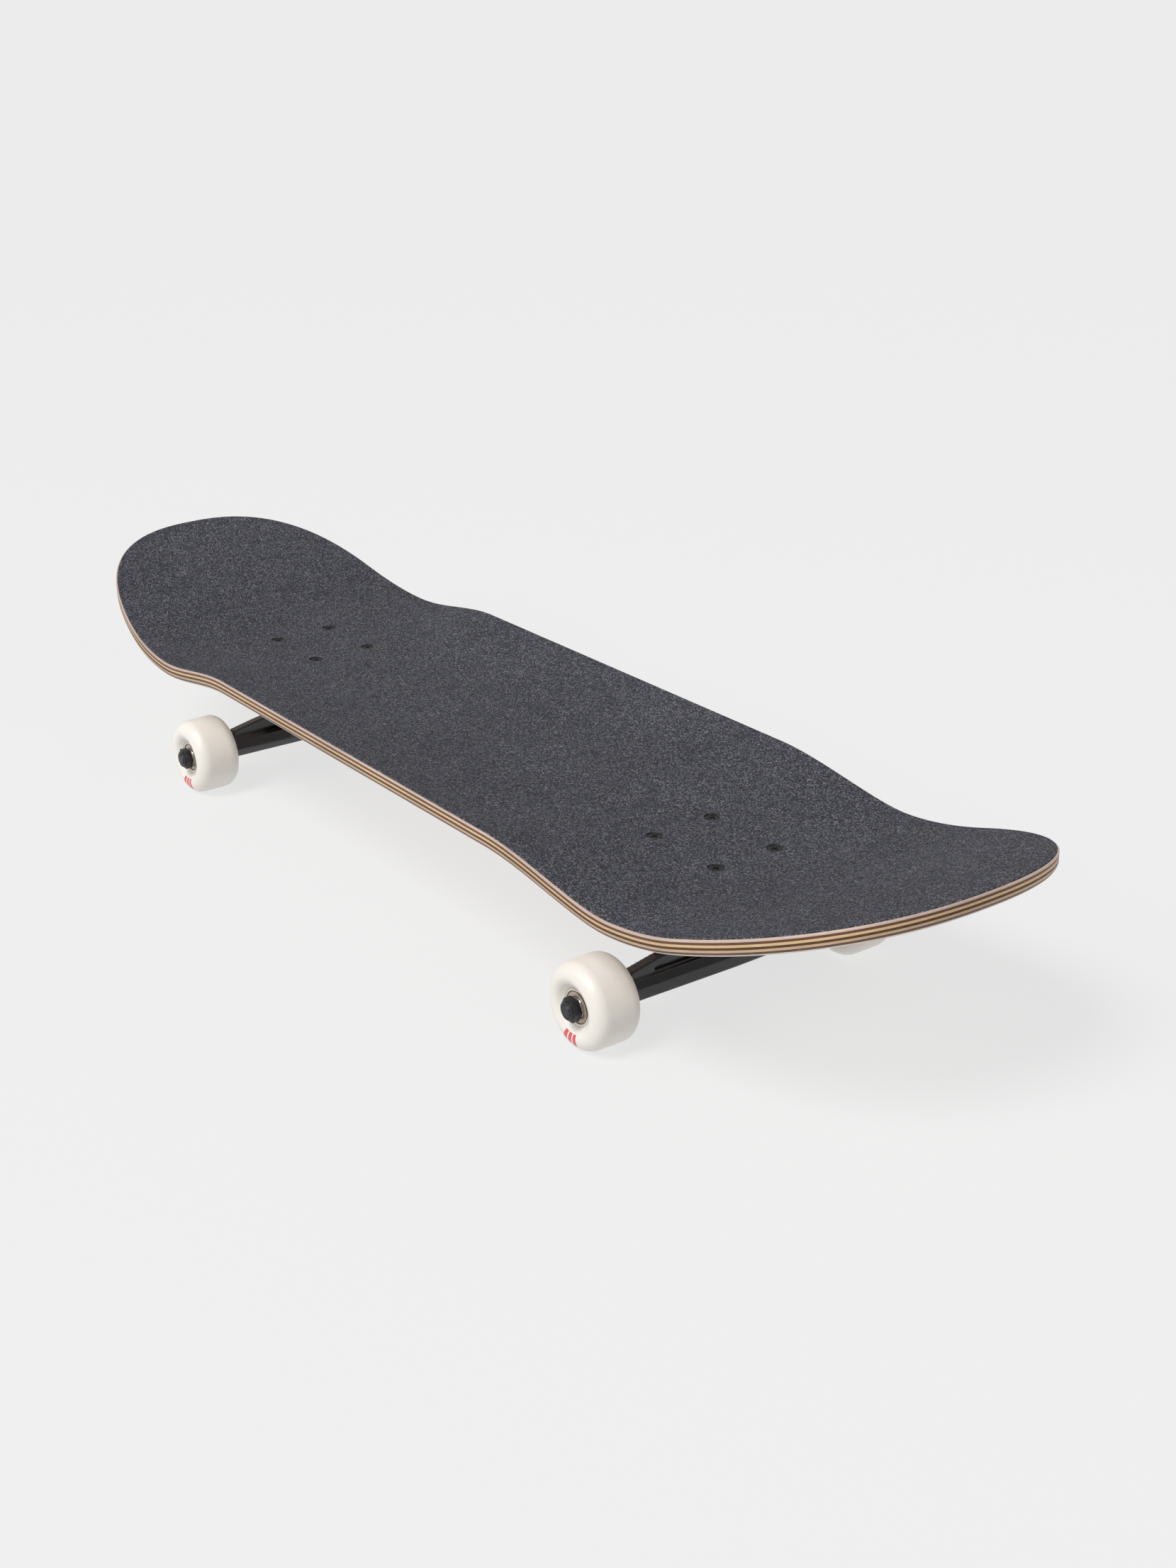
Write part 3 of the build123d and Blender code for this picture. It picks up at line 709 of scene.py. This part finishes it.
for number, (finish, slot_name) in enumerate(PLY_FINISH, 1):
    top_depth = (number - 1) * PLY
    rings = 5 if number in (1, 6, 7) else 2
    layer = board_layer(top_depth, top_depth + PLY, edge_inset, rings)
    sheet = drilled(layer, PLY_HOLE)
    settle_mesh(sheet, f"veneer_{number}", "deck", finish, [f"ply_{number}"], 40.0)

grip_layer = board_layer(-GRIP, 0.0, lambda depth: GRIP_INSET + 0.9 * max(-depth - 0.4, 0.0), 3)
settle_mesh(drilled(grip_layer, GRIP_HOLE), "grip_sheet", "deck", GRIP_TAPE, ["grip_tape"], 40.0)


# ---------------------------------------------------------------- wheels and bearings
WHEEL_STEPS = 128
RING_STEPS = 72
HALF_WHEEL = 15.5
LIP = 8.0


def wheel_side_profile():
    """Bearing seat, dished face, lip and half the tread, from the bearing outwards."""
    face = [(11.0, 5.0), (11.0, 11.6)] + bend((11.5, 11.6), 0.5, 180, 110, 3)
    dish = [(12.2, 12.55), (13.2, 13.6), (14.4, 14.45), (15.6, 15.05), (16.6, 15.38)]
    lip = bend((WHEEL_RADIUS - LIP, HALF_WHEEL - LIP), LIP, 90, 0, 14)
    return face + dish + lip


def wheel_profile():
    side = wheel_side_profile()
    return [(9.5, 5.0)] + side + [(r, -z) for r, z in reversed(side)] + [(9.5, -5.0)]


PROFILE_UNIT = 20.0


def turned_map(bm, profile):
    """UV map for a spun piece: U is the turn, V the way along the profile in units of PROFILE_UNIT."""
    layer = bm.loops.layers.uv.new("turning")
    marks = [0.0]
    for (r1, z1), (r2, z2) in zip(profile, profile[1:]):
        marks.append(marks[-1] + math.hypot(r2 - r1, z2 - z1))
    for face in bm.faces:
        middle = face.calc_center_median()
        home = math.atan2(middle.y, middle.x)
        for loop in face.loops:
            r, z = math.hypot(loop.vert.co.x, loop.vert.co.y) / MM, loop.vert.co.z / MM
            nearest = min(range(len(profile)), key=lambda k: math.dist(profile[k], (r, z)))
            angle = math.atan2(loop.vert.co.y, loop.vert.co.x)
            while angle - home > math.pi:
                angle -= 2 * math.pi
            while home - angle > math.pi:
                angle += 2 * math.pi
            loop[layer].uv = (angle / (2 * math.pi) + 0.5, marks[nearest] / PROFILE_UNIT)


def hub_matrix(truck, side, outward=0.0):
    """Turns +Z outwards and +X down at a wheel's place."""
    sign = SIDES[side]
    centre = Vector((AXLE_X[truck], sign * (WHEEL_CENTRE_Y + outward), AXLE_Z)) * MM
    down, out = Vector((0, 0, -1)), Vector((0, sign, 0))
    across = out.cross(down)
    return Matrix.Translation(centre) @ Matrix((down, across, out)).transposed().to_4x4()


STAMP_TURN = {"front": math.radians(-7.0), "rear": math.radians(-2.0)}
BEARINGS = (-8.5, 8.5)


def ring_piece(name, truck, side, sections, body, material, nodes=()):
    bm = bmesh.new()
    for offset in BEARINGS:
        for section in sections:
            spin_profile(bm, [(r, z + offset) for r, z in section], RING_STEPS, True)
    bmesh.ops.transform(bm, matrix=hub_matrix(truck, side), verts=bm.verts)
    return settle(bm, name, body, material, nodes, 40.0)


for truck in ("front", "rear"):
    for side in SIDES:
        hub = f"{truck}_{side}"
        wheel_body = f"{hub}_wheel_body"
        bm = bmesh.new()
        profile = wheel_profile()
        spin_profile(bm, profile, WHEEL_STEPS, True)
        turned_map(bm, profile)
        turn = Matrix.Rotation(-STAMP_TURN[truck] * SIDES[side], 4, "Z")
        bmesh.ops.transform(bm, matrix=hub_matrix(truck, side) @ turn, verts=bm.verts)
        settle(bm, f"{hub}_urethane", wheel_body, URETHANE, [f"{hub}_wheel"], 50.0)
        outer = soft_ring(9.45, 11.0, -3.5, 3.5, 0.35)
        ring_piece(f"{hub}_outer_races", truck, side, [outer], wheel_body, BEARING_STEEL,
                   [f"{hub}_bearing_outer_rings"])
        seams = [soft_ring(8.95, 9.46, z - 0.2, z + 0.2, 0.1, 2) for z in (-3.2, 3.2)]
        ring_piece(f"{hub}_seal_lips", truck, side, seams, wheel_body, SEAM)
        shields = [soft_ring(6.35, 8.98, z - 0.18, z + 0.18, 0.1, 2) for z in (-2.95, 2.95)]
        ring_piece(f"{hub}_shields", truck, side, shields, wheel_body, SHIELD,
                   [f"{hub}_bearing_shields"])
        inner = soft_ring(4.0, 5.95, -3.5, 3.5, 0.3)
        ring_piece(f"{hub}_inner_races", truck, side, [inner], f"{truck}_truck", BEARING_STEEL,
                   [f"{hub}_bearing_inner_rings"])


# ---------------------------------------------------------------- castings
def cast_piece(cad_node, name, body, voxel, passes):
    """A casting from its CAD solid, with every edge softened as foundry work is."""
    bm = bmesh.new()
    bm.from_mesh(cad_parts[cad_node].data)
    bmesh.ops.remove_doubles(bm, verts=bm.verts, dist=1e-6)
    mesh = bpy.data.meshes.new(name)
    bm.to_mesh(mesh)
    bm.free()
    cast = ("REMESH", {"mode": "VOXEL", "voxel_size": voxel * MM})
    ease = ("SMOOTH", {"factor": 0.5, "iterations": passes})
    soft = applied(mesh, [cast, ease])
    return settle_mesh(soft, name, body, PAINT, [cad_node], 60.0)


for truck in ("front", "rear"):
    cast_piece(f"{truck}_hanger", f"{truck}_hanger_casting", f"{truck}_truck", 0.6, 3)
    cast_piece(f"{truck}_baseplate", f"{truck}_baseplate_casting", "deck", 0.75, 2)


# ---------------------------------------------------------------- hardware
def eased_piece(cad_node, body, material, edge):
    """A piece with its CAD solid's shape: facets joined up and, where given, hard edges rounded."""
    bm = bmesh.new()
    bm.from_mesh(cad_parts[cad_node].data)
    bmesh.ops.remove_doubles(bm, verts=bm.verts, dist=2e-6)
    bmesh.ops.dissolve_limit(bm, angle_limit=math.radians(0.5), verts=bm.verts, edges=bm.edges)
    if edge:
        steep = math.radians(40)
        hard = [e for e in bm.edges if len(e.link_faces) == 2 and e.calc_face_angle(0.0) > steep]
        bmesh.ops.bevel(bm, geom=hard, offset=edge * MM, offset_type="OFFSET", segments=2, profile=0.5,
                        affect="EDGES", clamp_overlap=True, material=-1)
    return settle(bm, f"{cad_node}_eased", body, material, [cad_node], 40.0)


def kept_node(cad_node, material):
    """A CAD node shown as it is, since it changes shape as the truck leans."""
    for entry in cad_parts[cad_node].material_slots:
        entry.material = material


ON_DECK = {
    "mounting_bolts": (BLACK_STEEL, "black_steel", 0.12),
    "mounting_nuts": (ZINC, "zinc_steel", 0.25),
    "pivot_cup": (NYLON, "nylon", 0.0),
    "kingpin": (BLACK_STEEL, "black_steel", 0.2),
    "kingpin_nut": (ZINC, "zinc_steel", 0.3),
    "board_washer": (ZINC, "zinc_steel", 0.2),
    "road_washer": (ZINC, "zinc_steel", 0.2),
}
ON_TRUCK = {
    "axle": (BLACK_STEEL, "black_steel", 0.0),
    "axle_nuts": (BLACK_STEEL, "black_steel", 0.25),
    "speed_washers": (ZINC, "zinc_steel", 0.12),
}
for truck in ("front", "rear"):
    for body, group in (("deck", ON_DECK), (f"{truck}_truck", ON_TRUCK)):
        for piece_name, (finish, slot_name, edge) in group.items():
            eased_piece(f"{truck}_{piece_name}", body, finish, edge)
    for piece_name in ("board_bushing", "road_bushing"):
        kept_node(f"{truck}_{piece_name}", BUSHING)
    for side in SIDES:
        hub = f"{truck}_{side}"
        eased_piece(f"{hub}_balls_and_cages", f"{hub}_cage_body", BEARING_STEEL, 0.0)
        eased_piece(f"{hub}_bearing_spacer", f"{truck}_truck", ZINC, 0.1)


# ---------------------------------------------------------------- studio
floor_bm = bmesh.new()
bmesh.ops.create_grid(floor_bm, x_segments=1, y_segments=1, size=30.0)
floor_mesh = bpy.data.meshes.new("studio_floor")
floor_bm.to_mesh(floor_mesh)
floor_bm.free()
floor = bpy.data.objects.new("studio_floor", floor_mesh)
bpy.context.scene.collection.objects.link(floor)
paper, _, paper_shader = new_material("studio_paper")
paper_shader.inputs["Base Color"].default_value = (0.14, 0.14, 0.14, 1)
paper_shader.inputs["Emission Color"].default_value = (1.0, 1.0, 1.0, 1)
paper_shader.inputs["Emission Strength"].default_value = 0.70
paper_shader.inputs["Roughness"].default_value = 0.9
paper_shader.inputs["Specular IOR Level"].default_value = 0.0
floor_mesh.materials.append(paper)

world = bpy.data.worlds.new("studio_air")
world.use_nodes = True
world.node_tree.nodes["Background"].inputs["Color"].default_value = (0.855, 0.855, 0.855, 1)
world.node_tree.nodes["Background"].inputs["Strength"].default_value = 0.42
bpy.context.scene.world = world


def towards(azimuth_deg, elevation_deg):
    """The direction in which a light stands, seen from the board."""
    a, e = math.radians(azimuth_deg), math.radians(elevation_deg)
    return Vector((math.sin(a) * math.cos(e), -math.cos(a) * math.cos(e), math.sin(e)))


def soft_sun(name, azimuth_deg, elevation_deg, power, angle):
    data = bpy.data.lights.new(name, "SUN")
    data.energy = power
    data.angle = math.radians(angle)
    lamp = bpy.data.objects.new(name, data)
    bpy.context.scene.collection.objects.link(lamp)
    source = towards(azimuth_deg, elevation_deg)
    lamp.rotation_mode = "QUATERNION"
    lamp.rotation_quaternion = (-source).to_track_quat("-Z", "Y")


def soft_box(name, azimuth_deg, elevation_deg, distance, size, power):
    data = bpy.data.lights.new(name, "AREA")
    data.shape = "RECTANGLE"
    data.size, data.size_y = size
    data.energy = power
    lamp = bpy.data.objects.new(name, data)
    bpy.context.scene.collection.objects.link(lamp)
    source = towards(azimuth_deg, elevation_deg)
    lamp.location = source * distance
    lamp.rotation_mode = "QUATERNION"
    lamp.rotation_quaternion = (-source).to_track_quat("-Z", "Y")


soft_sun("overhead_key", 8.0, 56.0, 2.3, 24.0)
soft_box("side_strip", -5.0, 30.0, 2.6, (1.8, 0.4), 16.0)
soft_box("nose_strip", 95.0, 40.0, 2.4, (1.4, 0.3), 6.0)

bpy.context.scene.view_settings.view_transform = "Standard"
bpy.context.scene.view_settings.look = "None"
